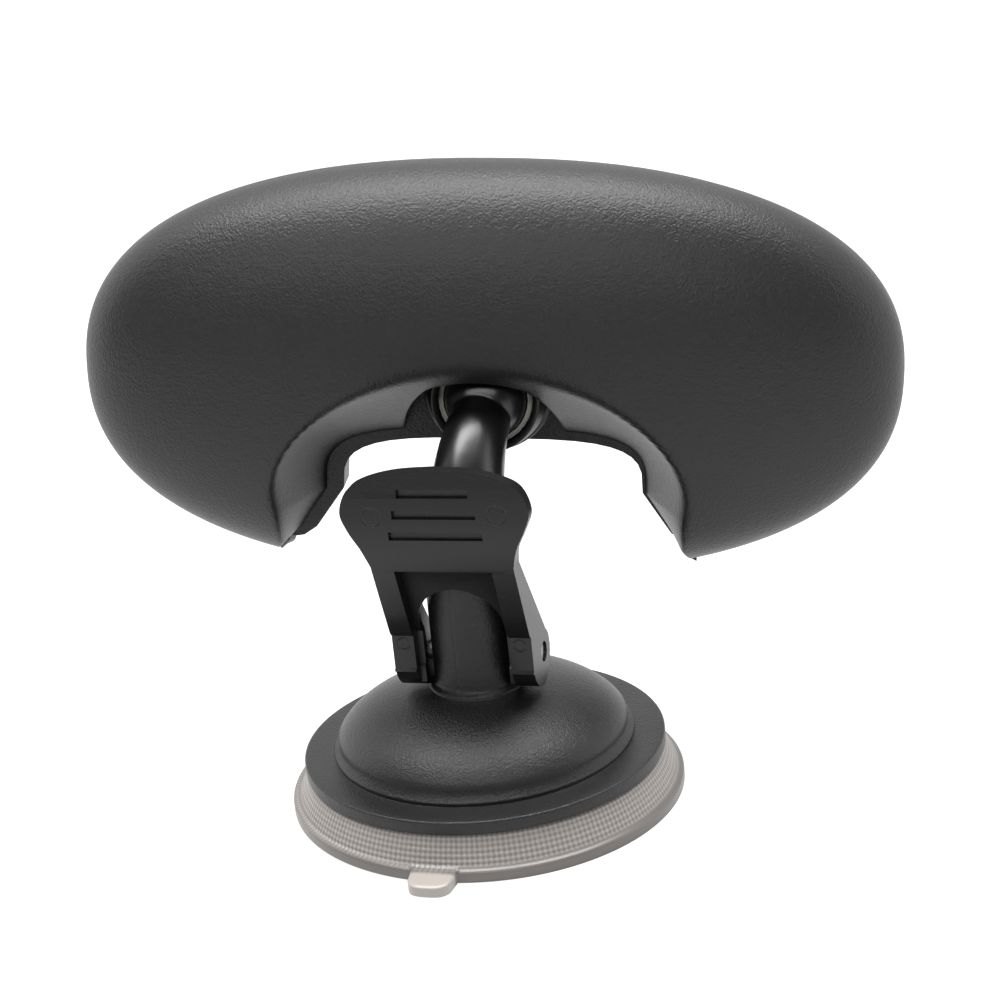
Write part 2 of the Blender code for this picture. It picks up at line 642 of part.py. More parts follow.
def bulge(x, y):
    """How far the glass stands out in front of its level at the head's two ends."""
    end = HEAD_HALF_WIDTH - FRAME_INSET - FRAME_BORDER
    return glass_sag(end, HEAD_CENTRE) - glass_sag(x, y)


def sliced(obj, pitch=15 * MM):
    """Adds edges across a plate so that its faces can follow a curve."""
    shape = bmesh.new()
    shape.from_mesh(obj.data)
    for axis, reach in ((0, HEAD_HALF_WIDTH), (1, HEAD_HALF_HEIGHT + HEAD_CENTRE)):
        for i in range(-int(reach / pitch), int(reach / pitch) + 1):
            point, normal = [0.0] * 3, [0.0] * 3
            point[axis], normal[axis] = i * pitch, 1.0
            bmesh.ops.bisect_plane(shape, geom=shape.verts[:] + shape.edges[:] + shape.faces[:],
                                   plane_co=point, plane_no=normal, dist=1e-7)
    return shape


def tip_of(flare, grow):
    """Where the notch's flare, read from its top down, runs out of the head's outline."""
    found = flare[-1][0]
    for (x0, y0), (x1, y1) in zip(flare, flare[1:]):
        for i in range(60):
            x, y = x0 + (x1 - x0) * i / 60, y0 + (y1 - y0) * i / 60
            if (abs(x) / (HEAD_HALF_WIDTH + grow)) ** HEAD_SQUARENESS + (
                    abs(y - HEAD_CENTRE) / (HEAD_HALF_HEIGHT + grow)) ** HEAD_SQUARENESS >= 0.985:
                return x
    return found


def notched_outline(grow, notch_grow):
    """The head's outline with the front notch cut into it, as one closed outline."""
    arch = [(x, y) for x, y in notch_ring(0.0, notch_grow, notch_grow)]
    outer = head_outline(grow)
    share = HEAD_SQUARENESS
    tip = tip_of(arch[4:0:-1], grow)

    def inside(x, y):
        return (abs(x) / (HEAD_HALF_WIDTH + grow)) ** share + (
            abs(y - HEAD_CENTRE) / (HEAD_HALF_HEIGHT + grow)) ** share < 0.985

    def in_notch(x, y):
        return y < HEAD_CENTRE and abs(x) < tip + 0.5 * MM

    lobe = [(x, y) for x, y in outer if not in_notch(x, y)]
    start = next(i for i, (x, y) in enumerate(lobe) if x > 0 and y < HEAD_CENTRE)
    lobe = lobe[start:] + lobe[:start]
    dense = []
    for (x0, y0), (x1, y1) in zip(arch, arch[1:]):
        pieces = max(1, int(math.hypot(x1 - x0, y1 - y0) / (3 * MM)))
        dense += [(x0 + (x1 - x0) * i / pieces, y0 + (y1 - y0) * i / pieces)
                  for i in range(pieces)]
    return lobe + [(x, y) for x, y in dense[::-1] if inside(x, y)]


def mirror_frame(material, head):
    """Front frame: flat back, a raised lip that follows the glass, and the socket's spring pocket."""
    rear = HOUSING_RIM
    body = prism("mirror_frame", notched_outline(-FRAME_INSET, -FRAME_STEP), FRAME_FRONT, rear,
                 "Z", material, head)
    recess = prism("frame_recess", notched_outline(-FRAME_INSET - FRAME_BORDER,
                                                   FRAME_BORDER - FRAME_STEP),
                   FRAME_FRONT - 20 * MM, FRAME_FLOOR, "Z", parent=head)
    for vert in body.data.vertices:
        if vert.co.z < FRAME_FLOOR:
            vert.co.z -= bulge(vert.co.x, vert.co.y)
    cut(body, recess)
    cut(body, cylinder("frame_pocket", POCKET_RADIUS, POCKET_FLOOR, rear + 5 * MM, parent=head))
    seat = FRAME_FLOOR + SCREW_HEAD_HEIGHT + GAP
    for i, centre in enumerate(HOUSING_SCREWS):
        cut(body,
            cylinder(f"frame_bore_{i + 1}", SCREW_RADIUS + GAP, FRAME_FLOOR - 5 * MM, 0.0, centre,
                     "Z", 16, parent=head),
            cylinder(f"frame_sink_{i + 1}", SCREW_HEAD + GAP, FRAME_FLOOR - 5 * MM, seat, centre,
                     "Z", 20, parent=head))
    for i, centre in enumerate(collar_screw_centres()):
        cut(body,
            cylinder(f"frame_collar_bore_{i + 1}", COLLAR_SCREW_RADIUS + GAP,
                     FRAME_FLOOR - 5 * MM, 0.0, centre, "Z", 16, parent=head),
            cylinder(f"frame_collar_sink_{i + 1}", COLLAR_SCREW_HEAD + GAP,
                     FRAME_FLOOR - 5 * MM, seat, centre, "Z", 20, parent=head))
    return body


def mirror_glass(material, head):
    """Convex glass with the frame's outline."""
    inset = FRAME_BORDER + GAP
    back = FRAME_FLOOR - GAP
    plate = prism("mirror_glass", notched_outline(-FRAME_INSET - inset, inset - FRAME_STEP),
                  back - GLASS_THICKNESS, back, "Z", material, head)
    shape = sliced(plate)
    for vert in shape.verts:
        vert.co.z -= bulge(vert.co.x, vert.co.y)
    shape.to_mesh(plate.data)
    shape.free()


def mirror_pad(material, head):
    """Foam pad between the frame's floor and the back of the glass."""
    share = 2.0 / HEAD_SQUARENESS
    turns = [math.radians(a) for a in range(0, 181, 6)]
    upper = [(PAD_HALF_WIDTH * power(math.cos(t), share),
              HEAD_CENTRE + PAD_HALF_HEIGHT * abs(math.sin(t)) ** share) for t in turns]
    low = [(-PAD_HALF_WIDTH, -2 * MM), (PAD_HALF_WIDTH, -2 * MM)]
    back = FRAME_FLOOR - GAP
    plate = prism("mirror_pad", upper + low, back - 0.5 * MM, back, "Z", material, head)
    shape = sliced(plate)
    for vert in shape.verts:
        if vert.co.z < back - 0.2 * MM:
            vert.co.z = back + GAP - bulge(vert.co.x, vert.co.y)
    shape.to_mesh(plate.data)
    shape.free()


# ------------------------------------------------------------------ socket

def collar_screw_centres():
    return [(COLLAR_SCREW_CIRCLE * math.cos(math.radians(a)),
             COLLAR_SCREW_CIRCLE * math.sin(math.radians(a))) for a in (90, 210, 330)]


def sphere_profile(radius, low, high, count=6):
    """Points of a sphere's side between two heights, in the order given."""
    start, end = math.asin(low / radius), math.asin(high / radius)
    return [(radius * math.cos(start + (end - start) * i / count),
             radius * math.sin(start + (end - start) * i / count)) for i in range(count + 1)]


def socket_collar(material, head):
    """Stepped ring on the frame that holds the liner and the ball."""
    seat = BALL_RADIUS + RUNNING + LINER_THICKNESS + RUNNING
    base = HOUSING_RIM + GAP
    inner = sphere_profile(seat, LINER_FRONT - 1.5 * MM, COLLAR_LIP)
    bore = inner[0][0]
    body = turned("socket_collar", [
        (COLLAR_LIP_RADIUS - 0.6 * MM, COLLAR_LIP), (COLLAR_LIP_RADIUS, COLLAR_LIP - 0.6 * MM),
        (COLLAR_LIP_RADIUS, COLLAR_LIP - 3.0 * MM), (COLLAR_SHOULDER - 0.5 * MM, -3.0 * MM),
        (COLLAR_SHOULDER, -3.6 * MM), (COLLAR_SHOULDER, -6.2 * MM), (COLLAR_RADIUS, -6.8 * MM),
        (COLLAR_RADIUS, base), (bore, base)] + inner, material, head, ring=True)
    for i, centre in enumerate(collar_screw_centres()):
        cut(body, cylinder(f"collar_pilot_{i + 1}", COLLAR_SCREW_RADIUS + GAP, base - 3 * MM,
                           COLLAR_SCREW_TIP + GAP, centre, "Z", 16, parent=head))
    return body


def ball_liner(material, head):
    """Nylon ring between the ball and the collar."""
    inside = BALL_RADIUS + RUNNING
    outside = inside + LINER_THICKNESS
    profile = (sphere_profile(outside, LINER_BACK, LINER_FRONT)
               + sphere_profile(inside, LINER_FRONT, LINER_BACK))
    turned("ball_liner", profile, material, head, ring=True)


def pressure_cup(material, head):
    """Nylon cup that the spring presses against the front of the ball."""
    bowl = sphere_profile(BALL_RADIUS + RUNNING, PRESSURE_BACK, -BALL_RADIUS - 0.999 * RUNNING, 8)
    bowl[-1] = (0.0, -BALL_RADIUS - RUNNING)
    profile = bowl[::-1] + [(CUP_SEAT_RADIUS, PRESSURE_BACK), (CUP_SEAT_RADIUS, PRESSURE_FRONT),
                            (0.0, PRESSURE_FRONT)]
    turned("pressure_cup", profile, material, head)


def pressure_spring(material, head):
    radius = POCKET_RADIUS - RUNNING - 2 * PRESSURE_WIRE
    wire("pressure_spring", coil(radius, POCKET_FLOOR + GAP + PRESSURE_WIRE,
                                 PRESSURE_FRONT - GAP - PRESSURE_WIRE, 2), PRESSURE_WIRE, 1,
         material, head)


# ------------------------------------------------------------------ build

for old in list(bpy.data.objects):
    bpy.data.objects.remove(old, do_unlink=True)
PARTS = new_collection("suction_mirror")
CUTTERS = new_collection("cutters")

BLACK = finish("grained_black", (0.035, 0.036, 0.037), 0.5)
SATIN = finish("satin_black", (0.03, 0.03, 0.031), 0.38)
CLEAR = finish("soft_clear", (0.62, 0.57, 0.53), 0.45)
NYLON = finish("nylon", (0.75, 0.74, 0.7), 0.45)
STEEL = finish("steel", (0.6, 0.6, 0.62), 0.3, 1.0)
SILVER = finish("mirror_silver", (0.9, 0.9, 0.92), 0.03, 1.0)
FOAM = finish("foam", (0.06, 0.06, 0.06), 0.9)

suction_cup(CLEAR)
cup_insert(NYLON)
base_shell(BLACK)
plunger(NYLON)
plunger_spring(STEEL)
lever(SATIN)
cylinder("lever_pin", PIN_RADIUS, 0.6 * MM - LEG_HALF_WIDTH, LEG_HALF_WIDTH - 0.6 * MM,
         (0.0, PIN_HEIGHT), "X", 24, STEEL)
ball_arm(SATIN)
arm_screw(STEEL)

HEAD = bpy.data.objects.new("head_pose", None)
PARTS.objects.link(HEAD)
HEAD.matrix_world = (Matrix.Translation(BALL) @ Matrix.Rotation(HEAD_YAW, 4, "Z")
                     @ Matrix.Rotation(HEAD_TILT, 4, "X") @ Matrix.Rotation(math.pi / 2, 4, "X")
                     @ Matrix.Rotation(HEAD_ROLL, 4, "Z"))
rear_housing(BLACK, HEAD)
mirror_frame(BLACK, HEAD)
mirror_glass(SILVER, HEAD)
mirror_pad(FOAM, HEAD)
socket_collar(SATIN, HEAD)
ball_liner(NYLON, HEAD)
pressure_cup(NYLON, HEAD)
pressure_spring(STEEL, HEAD)
SEAT = FRAME_FLOOR + SCREW_HEAD_HEIGHT
for number, spot in enumerate(HOUSING_SCREWS, 1):
    screw(f"housing_screw_{number}", SCREW_RADIUS, SCREW_HEAD, SCREW_HEAD_HEIGHT, SEAT, SCREW_TIP,
          spot, HEAD, STEEL)
for number, spot in enumerate(collar_screw_centres(), 1):
    screw(f"collar_screw_{number}", COLLAR_SCREW_RADIUS, COLLAR_SCREW_HEAD, SCREW_HEAD_HEIGHT,
          SEAT, COLLAR_SCREW_TIP, spot, HEAD, STEEL)
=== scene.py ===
"""A wide-angle interior mirror on a lever-locked suction base, finished piece by piece.

Lengths are in metres, written in millimetres times MM. The head's pieces are worked out in the
head's own frame: x across, y up, z out of the back, with its origin at the centre of the ball.
"""

import json

import bmesh
import bpy
import numpy as np
from mathutils import Matrix, Vector


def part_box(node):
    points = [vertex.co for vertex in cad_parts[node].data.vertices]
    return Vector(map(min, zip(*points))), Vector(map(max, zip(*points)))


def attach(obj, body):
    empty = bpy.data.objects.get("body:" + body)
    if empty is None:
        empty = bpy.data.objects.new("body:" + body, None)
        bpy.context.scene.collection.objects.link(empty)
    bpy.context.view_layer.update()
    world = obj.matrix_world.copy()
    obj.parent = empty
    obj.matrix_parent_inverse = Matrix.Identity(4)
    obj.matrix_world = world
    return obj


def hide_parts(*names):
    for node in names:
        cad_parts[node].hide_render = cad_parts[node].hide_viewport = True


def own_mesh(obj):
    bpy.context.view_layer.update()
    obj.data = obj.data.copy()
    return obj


MM = 0.001
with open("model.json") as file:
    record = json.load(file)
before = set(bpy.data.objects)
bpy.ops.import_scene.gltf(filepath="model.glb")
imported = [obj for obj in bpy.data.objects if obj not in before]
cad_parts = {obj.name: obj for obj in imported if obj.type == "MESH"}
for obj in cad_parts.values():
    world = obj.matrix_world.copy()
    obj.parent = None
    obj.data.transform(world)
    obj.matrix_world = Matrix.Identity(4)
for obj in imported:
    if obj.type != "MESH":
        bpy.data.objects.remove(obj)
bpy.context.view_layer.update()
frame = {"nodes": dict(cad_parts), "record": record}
joints = {joint["name"]: joint for joint in frame["record"]["behaviour"]["joints"]}

# ---------------------------------------------------------------- camera, light and floor
# A long lens looks down at the back of the mirror from a little to the right. A weak sun, four soft
# boxes and a room that is bright behind the mirror and dim behind the camera give black plastic its
# pale sheen along the top edges and the flanks.

LOOK_BACK = Vector((0.272976, -0.900164, 0.339395))
CAMERA_ROLL = np.radians(-5.725)
level = Vector((-LOOK_BACK.y, LOOK_BACK.x, 0.0)).normalized()
upward = LOOK_BACK.cross(level)
right = level * np.cos(CAMERA_ROLL) + upward * np.sin(CAMERA_ROLL)
up = upward * np.cos(CAMERA_ROLL) - level * np.sin(CAMERA_ROLL)

lens = bpy.data.cameras.new("camera")
lens.sensor_width = 36.0
lens.lens = 82.58
camera = bpy.data.objects.new("camera", lens)
camera.matrix_world = Matrix.Translation((0.138478, -0.427562, 0.227826)) @ Matrix(
    (right, up, LOOK_BACK)).transposed().to_4x4()
bpy.context.scene.collection.objects.link(camera)
bpy.context.scene.camera = camera
bpy.context.scene.view_settings.view_transform = "Standard"

sun = bpy.data.lights.new("ceiling_light", "SUN")
sun.energy = 0.6
sun.angle = np.radians(70)
sun_place = bpy.data.objects.new("ceiling_light", sun)
sun_place.matrix_world = Vector((-0.1, 0.1, 1.0)).to_track_quat("Z", "Y").to_matrix().to_4x4()
bpy.context.scene.collection.objects.link(sun_place)
for name, place, size, watts in (("top_box", (-0.05, 0.1, 0.85), (0.9, 0.26), 12.0),
                                 ("front_box", (0.0, -0.7, 0.62), (1.5, 0.16), 6.0),
                                 ("left_box", (-0.95, 0.15, 0.35), (0.35, 0.9), 1.2),
                                 ("right_box", (0.95, 0.2, 0.35), (0.3, 0.9), 1.2)):
    light = bpy.data.lights.new(name, "AREA")
    light.shape = "RECTANGLE"
    light.size, light.size_y = size
    light.energy = watts
    lamp = bpy.data.objects.new(name, light)
    lamp.matrix_world = Matrix.Translation(place) @ (
        Vector(place) - Vector((0.0, 0.0, 0.06))).to_track_quat("Z", "Y").to_matrix().to_4x4()
    bpy.context.scene.collection.objects.link(lamp)

room = bpy.data.worlds.new("room")
room.use_nodes = True
walls = room.node_tree
sky = walls.nodes["Background"]
sky.inputs["Color"].default_value = (1.0, 1.0, 1.0, 1.0)
direction = walls.nodes.new("ShaderNodeTexCoord")
upness = walls.nodes.new("ShaderNodeSeparateXYZ")
fade = walls.nodes.new("ShaderNodeMapRange")
walls.links.new(direction.outputs["Generated"], upness.inputs[0])
walls.links.new(upness.outputs["Y"], fade.inputs["Value"])
fade.inputs["From Min"].default_value, fade.inputs["From Max"].default_value = -0.35, 0.25
fade.inputs["To Min"].default_value, fade.inputs["To Max"].default_value = 0.03, 1.3
walls.links.new(fade.outputs[0], sky.inputs["Strength"])
bpy.context.scene.world = room


class Signal:
    """A number inside a material: sums written on it add Math nodes."""

    def __init__(self, finish, socket):
        self.finish, self.socket = finish, socket

    def _sum(self, operation, *values):
        return self.finish.node("ShaderNodeMath", {"operation": operation}, *values)

    def __add__(self, other):
        return self._sum("ADD", self, other)

    def __radd__(self, other):
        return self._sum("ADD", other, self)

    def __sub__(self, other):
        return self._sum("SUBTRACT", self, other)

    def __rsub__(self, other):
        return self._sum("SUBTRACT", other, self)

    def __mul__(self, other):
        return self._sum("MULTIPLY", self, other)

    def __pow__(self, other):
        return self._sum("POWER", self, other)

    def wave(self):
        return self._sum("SINE", self)

    def between(self, low, high):
        """0 below low, 1 above high and straight between them."""
        return self.finish.node("ShaderNodeMapRange", {"clamp": True}, self, low, high, 0.0, 1.0)


class Finish:
    """A Principled material and the few nodes that vary over its surface."""

    def __init__(self, name, colour, roughness, **constants):
        self.material = bpy.data.materials.new(name)
        self.material.use_nodes = True
        self.tree = self.material.node_tree
        self.shader = self.tree.nodes["Principled BSDF"]
        self.set("Base Color", (*colour, 1.0))
        self.set("Roughness", roughness)
        for socket, value in constants.items():
            self.set(socket.replace("_", " "), value)
        self.colour, self.roughness = colour, roughness

    def set(self, socket, value):
        """Gives one of the shader's sockets a constant or a signal."""
        if isinstance(value, Signal):
            self.tree.links.new(value.socket, self.shader.inputs[socket])
        else:
            self.shader.inputs[socket].default_value = value

    def node(self, kind, settings, *values, out=0, **named):
        """Adds a node: settings first, then its sockets by number and by name."""
        node = self.tree.nodes.new(kind)
        for key, value in settings.items():
            setattr(node, key, value)
        for key, value in [*enumerate(values), *named.items()]:
            if value is None:
                continue
            if isinstance(value, Signal):
                self.tree.links.new(value.socket, node.inputs[key])
            else:
                node.inputs[key].default_value = value
        return Signal(self, node.outputs[out])

    def place(self):
        return self.node("ShaderNodeTexCoord", {}, out="Object")

    def across(self):
        """The piece's own map: its share of the way round and metres along its profile."""
        return self.node("ShaderNodeTexCoord", {}, out="UV")

    def parts(self, vector):
        """The three numbers of a vector, one signal each."""
        outputs = self.node("ShaderNodeSeparateXYZ", {}, vector).socket.node.outputs
        return [Signal(self, socket) for socket in outputs]

    def noise(self, size, detail=2.0):
        """Cloudy noise whose blots are about size metres wide."""
        return self.node("ShaderNodeTexNoise", {}, Vector=self.place(), Scale=1.0 / size,
                         Detail=detail)

    def shade(self, mask, other):
        """Base colour that goes to the other colour where mask is 1."""
        mixed = self.node("ShaderNodeMix", {"data_type": "RGBA"}, mask, None, None, None, None, None,
                          (*self.colour, 1.0), (*other, 1.0), out=2)
        self.set("Base Color", mixed)

    def relief(self, height, depth):
        """Raised and sunk detail, depth metres for a height of 1."""
        self.set("Normal", self.node("ShaderNodeBump", {}, Strength=1.0, Distance=depth,
                                     Height=height))


floor_finish = Finish("lit_table", (0.2, 0.2, 0.2), 0.7, Emission_Color=(1.0, 1.0, 1.0, 1.0),
                      Emission_Strength=0.93)
bpy.ops.mesh.primitive_plane_add(size=8.0)
floor = bpy.context.object
floor.name = "floor"
floor.data.materials.append(floor_finish.material)

# ---------------------------------------------------------------- suction cup
# One soft, slightly smoky vinyl moulding. Its flank is knurled for grip, its rim is thin and
# plain and lifts a little on one side, and a tongue below the lever is there to peel it off.

CUP_RADIUS = 42.5 * MM
RIM_TOP = 2.3 * MM
KNURL = np.pi * CUP_RADIUS / 116      # a whole number of dots goes round
TAB_LENGTH = 6.0 * MM
TAB_HALF_WIDTH = 4.75 * MM
TAB_SQUARE = 3.5                      # how square the tongue's end is; 2 is round
LIFT, LIFT_START, LIFT_WIDTH = 1.0 * MM, 36.0 * MM, 6.0 * MM


def rounded(corners, count=5):
    """A polyline of (radius, height, size) whose corners are eased over size by a parabola."""
    points = np.array([c[:2] for c in corners])
    found = []
    for i, (_, _, size) in enumerate(corners):
        if size == 0 or i in (0, len(corners) - 1):
            found.append(points[i][None])
            continue
        before, after = points[i - 1] - points[i], points[i + 1] - points[i]
        start = points[i] + before / np.hypot(*before) * min(size, 0.49 * np.hypot(*before))
        end = points[i] + after / np.hypot(*after) * min(size, 0.49 * np.hypot(*after))
        t = np.linspace(0.0, 1.0, count)[:, None]
        found.append((1 - t) ** 2 * start + 2 * t * (1 - t) * points[i] + t ** 2 * end)
    return np.concatenate(found)


def refine(line, step):
    """The same polyline with no stretch longer than step."""
    lengths = np.hypot(*np.diff(line, axis=0).T)
    parts = [np.linspace(a, b, max(1, int(np.ceil(n / step))), endpoint=False)
             for a, b, n in zip(line, line[1:], lengths)]
    return np.concatenate(parts + [line[-1:]])


def surface(name, points, finish, body, wrap=(False, False), outward=None, pose=None):
    """A grid of points made a mesh of quads; a wrapped direction joins its last line to its first.

    outward is a direction the faces look along; without it they look away from the middle."""
    if wrap[0]:
        points = np.concatenate([points, points[:1]])
    if wrap[1]:
        points = np.concatenate([points, points[:, :1]], axis=1)
    rows, columns = points.shape[:2]
    index = np.arange(rows * columns).reshape(rows, columns)
    quads = np.stack([index[:-1, :-1], index[1:, :-1], index[1:, 1:], index[:-1, 1:]],
                     axis=-1).reshape(-1, 4)
    flat = points.reshape(-1, 3)
    cross = np.cross(flat[quads[:, 2]] - flat[quads[:, 0]], flat[quads[:, 3]] - flat[quads[:, 1]])
    look = np.asarray(outward) if outward is not None else flat[quads[:, 0]] - flat.mean(axis=0)
    if (cross * look).sum() < 0:
        quads = quads[:, ::-1]
    mesh = bpy.data.meshes.new(name)
    mesh.from_pydata(flat.tolist(), [], quads.tolist())
    along = np.zeros((rows, columns, 2))
    along[:, :, 0] = np.linspace(0.0, 1.0, rows)[:, None]
    along[:, 1:, 1] = np.cumsum(np.linalg.norm(np.diff(points, axis=1), axis=2), axis=1)
    layer = mesh.uv_layers.new(name="across")
    corners = np.empty(len(mesh.loops), dtype=np.int64)
    mesh.loops.foreach_get("vertex_index", corners)
    layer.data.foreach_set("uv", along.reshape(-1, 2)[corners].ravel())
    shape = bmesh.new()
    shape.from_mesh(mesh)
    bmesh.ops.remove_doubles(shape, verts=shape.verts, dist=1e-7)
    shape.to_mesh(mesh)
    shape.free()
    mesh.shade_smooth()
    if pose is not None:
        mesh.transform(pose)
    mesh.materials.append(finish.material)
    piece = bpy.data.objects.new(name, mesh)
    bpy.context.scene.collection.objects.link(piece)
    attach(piece, body)
    return piece


def turned(profile, steps):
    """Every point (radius, height) of a profile carried round Z: a steps by len(profile) grid."""
    turn = np.linspace(0.0, 2 * np.pi, steps, endpoint=False)[:, None]
    radius, height = profile[:, 0][None], profile[:, 1][None]
    return np.stack([radius * np.cos(turn), radius * np.sin(turn), height + 0 * turn], axis=-1)


vinyl = Finish("smoky_vinyl", (0.105, 0.094, 0.086), 0.34, Transmission_Weight=0.15, IOR=1.5)
share_round, down, _ = vinyl.parts(vinyl.across())
around = share_round * (2 * np.pi * CUP_RADIUS)
diamonds = ((around + down) * (np.pi / KNURL)).wave() * ((around - down) * (np.pi / KNURL)).wave()
_, away, height_over_floor = vinyl.parts(vinyl.place())
knurled = height_over_floor.between(RIM_TOP + 0.5 * MM, RIM_TOP + 1.1 * MM)
vinyl.relief(diamonds * knurled + vinyl.noise(6 * MM) * 0.5, 0.12 * MM)
# Painted light: the tongue is painted pale so that the thin tab looks brightly lit.
tongue = (0.0 - away).between(CUP_RADIUS + 0.3 * MM, CUP_RADIUS + 1.5 * MM)
vinyl.shade((diamonds * 0.35 + 0.4) * knurled + tongue, (0.36, 0.33, 0.305))

cup_profile = refine(rounded([
    (0.05 * MM, 1.5 * MM, 0), (8.4 * MM, 1.5 * MM, 0), (8.4 * MM, 5.0 * MM, 0.3 * MM),
    (9.5 * MM, 5.0 * MM, 0.3 * MM), (9.5 * MM, 4.0 * MM, 0.3 * MM), (27.0 * MM, 4.0 * MM, 1.5 * MM),
    (31.0 * MM, 8.8 * MM, 0.6 * MM), (38.3 * MM, 8.8 * MM, 0.9 * MM), (39.6 * MM, 6.4 * MM, 2.5 * MM),
    (41.2 * MM, 2.9 * MM, 0.8 * MM), (CUP_RADIUS, RIM_TOP, 0.5 * MM),
    (CUP_RADIUS, 0.05 * MM, 0.2 * MM),
    (CUP_RADIUS - 2 * MM, 0.0, 0), (0.05 * MM, 0.0, 0)]), 0.7 * MM)
cup_points = turned(cup_profile, 720)
flat_radius = np.hypot(cup_points[..., 0], cup_points[..., 1])
to_tab = np.clip(np.abs(cup_points[..., 0]) / TAB_HALF_WIDTH, 0.0, 1.0)
tab = TAB_LENGTH * (1.0 - to_tab ** TAB_SQUARE) ** (1 / TAB_SQUARE) * (cup_points[..., 1] < 0)
tab *= np.clip((flat_radius - (CUP_RADIUS - 1.3 * MM)) / (1.2 * MM), 0.0, 1.0)
cup_points[..., 1] -= tab
lift = np.clip((flat_radius - LIFT_START) / LIFT_WIDTH, 0, 1) ** 2
lift *= 0.5 - 0.5 * cup_points[..., 0] / CUP_RADIUS
cup_points[..., 2] += LIFT * lift ** 2 * (cup_points[..., 2] > 0.02 * MM)
cup = surface("cup_membrane", cup_points, vinyl, "base", wrap=(True, True))
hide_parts("suction_cup")

# ---------------------------------------------------------------- base moulding
# Flange, dome and stem are one black moulding with a fine spark grain. The mould's parting line
# runs up the front of the stem, and a slot through the stem lets the lever's pin rise.

FLANGE_RADIUS, FLANGE_LOW, FLANGE_TOP = 39.0 * MM, 9.1 * MM, 12.0 * MM
DOME_RADIUS, DOME_BASE, DOME_RISE = 32.0 * MM, 12.8 * MM, 13.2 * MM
STEM_RADIUS, STEM_TOP, STEM_BORE = 9.0 * MM, 53.0 * MM, 5.2 * MM
RING_Z = 25.5 * MM
INNER_EDGE, INNER_RADIUS, INNER_TOP = 9.0 * MM, 29.8 * MM, 23.3 * MM


def grained(name, colour, roughness, grain, depth, pale=1.7):
    """Black moulded plastic: fine pits, wide soft patches in its sheen and a painted sparkle on the
    grain's tops.
    """
    finish = Finish(name, colour, roughness, Specular_IOR_Level=0.42)
    fine = finish.noise(grain, 3.0)
    patches = finish.noise(22 * MM, 2.0)
    finish.relief(fine + finish.noise(2.3 * grain, 2.0) * 0.6, depth)
    finish.set("Roughness", roughness + (fine - 0.5) * 0.12 + (patches - 0.5) * 0.10)
    # Painted sparkle: where the fine grain stands highest, its colour is painted up to pale times
    # paler, a painted highlight on the grain's tops.
    finish.shade(fine.between(0.42, 0.72) * 0.7, tuple(c * pale for c in colour))
    return finish


base_black = grained("spark_grained_black", (0.0036, 0.0037, 0.0038), 0.40, 0.4 * MM, 0.15 * MM)


def over_ellipse(radius, span, base, rise):
    """Height of a dome of that span and rise at a radius."""
    return base + rise * np.sqrt(np.clip(1.0 - (radius / span) ** 2, 0.0, 1.0))


climb = np.linspace(0.0, np.pi / 2, 34)
dome_r = DOME_RADIUS * np.cos(climb)
dome_r = dome_r[dome_r > STEM_RADIUS + 1.7 * MM]
dome_line = np.stack([dome_r, over_ellipse(dome_r, DOME_RADIUS, DOME_BASE, DOME_RISE)], axis=1)
inner_r = INNER_EDGE + (INNER_RADIUS - INNER_EDGE) * np.sin(climb)
inner_base = INNER_TOP - over_ellipse(INNER_EDGE, INNER_RADIUS, 0.0, DOME_RISE)
inner_line = np.stack([inner_r, over_ellipse(inner_r, INNER_RADIUS, inner_base, DOME_RISE)], axis=1)
base_profile = np.concatenate([
    rounded([(INNER_RADIUS, FLANGE_LOW, 0), (FLANGE_RADIUS, FLANGE_LOW, 0.4 * MM),
             (FLANGE_RADIUS, FLANGE_TOP, 0.45 * MM), (DOME_RADIUS + 0.5 * MM, FLANGE_TOP, 0.12 * MM),
             (DOME_RADIUS + 0.5 * MM, DOME_BASE, 0.25 * MM),
             (DOME_RADIUS - 0.7 * MM, DOME_BASE + 1.2 * MM, 0)]),
    dome_line[dome_line[:, 0] < DOME_RADIUS - 0.9 * MM],
    rounded([tuple(dome_line[-1]) + (0,), (STEM_RADIUS + 1.4 * MM, RING_Z - 0.1 * MM, 0.2 * MM),
             (STEM_RADIUS + 1.4 * MM, RING_Z + 0.4 * MM, 0.3 * MM),
             (STEM_RADIUS + 0.2 * MM, RING_Z + 1.1 * MM, 0.8 * MM),
             (STEM_RADIUS, STEM_TOP, 0.35 * MM), (STEM_BORE, STEM_TOP, 0.2 * MM),
             (STEM_BORE, INNER_TOP, 0.2 * MM), (INNER_EDGE, INNER_TOP, 0)], 9)[1:],
    inner_line[1:]])
base_points = turned(refine(base_profile, 1.5 * MM), 360)
radius = np.hypot(base_points[..., 0], base_points[..., 1])
seam = (np.exp(-((base_points[..., 0] + 1.6 * MM) / (0.22 * MM)) ** 2)
        * (abs(radius - STEM_RADIUS) < 0.5 * MM))
base_points[..., :2] *= 1.0 - (0.12 * MM * seam / radius)[..., None]
base = surface("base_moulding", base_points, base_black, "base", wrap=(True, True))


def cut_away(piece, low, high):
    """Takes a box out of a piece and keeps the result as its mesh."""
    shape = bmesh.new()
    middle, size = (Vector(low) + Vector(high)) / 2, Vector(high) - Vector(low)
    bmesh.ops.create_cube(shape, size=1.0, matrix=Matrix.Translation(middle)
                          @ Matrix.Diagonal((*size, 1.0)))
    mesh = bpy.data.meshes.new("cutter")
    shape.to_mesh(mesh)
    shape.free()
    cutter = bpy.data.objects.new("cutter", mesh)
    bpy.context.scene.collection.objects.link(cutter)
    boolean = piece.modifiers.new("cut", "BOOLEAN")
    boolean.object = cutter
    graph = bpy.context.evaluated_depsgraph_get()
    result = bpy.data.meshes.new_from_object(piece.evaluated_get(graph))
    piece.modifiers.remove(boolean)
    piece.data = result
    bpy.data.objects.remove(cutter)


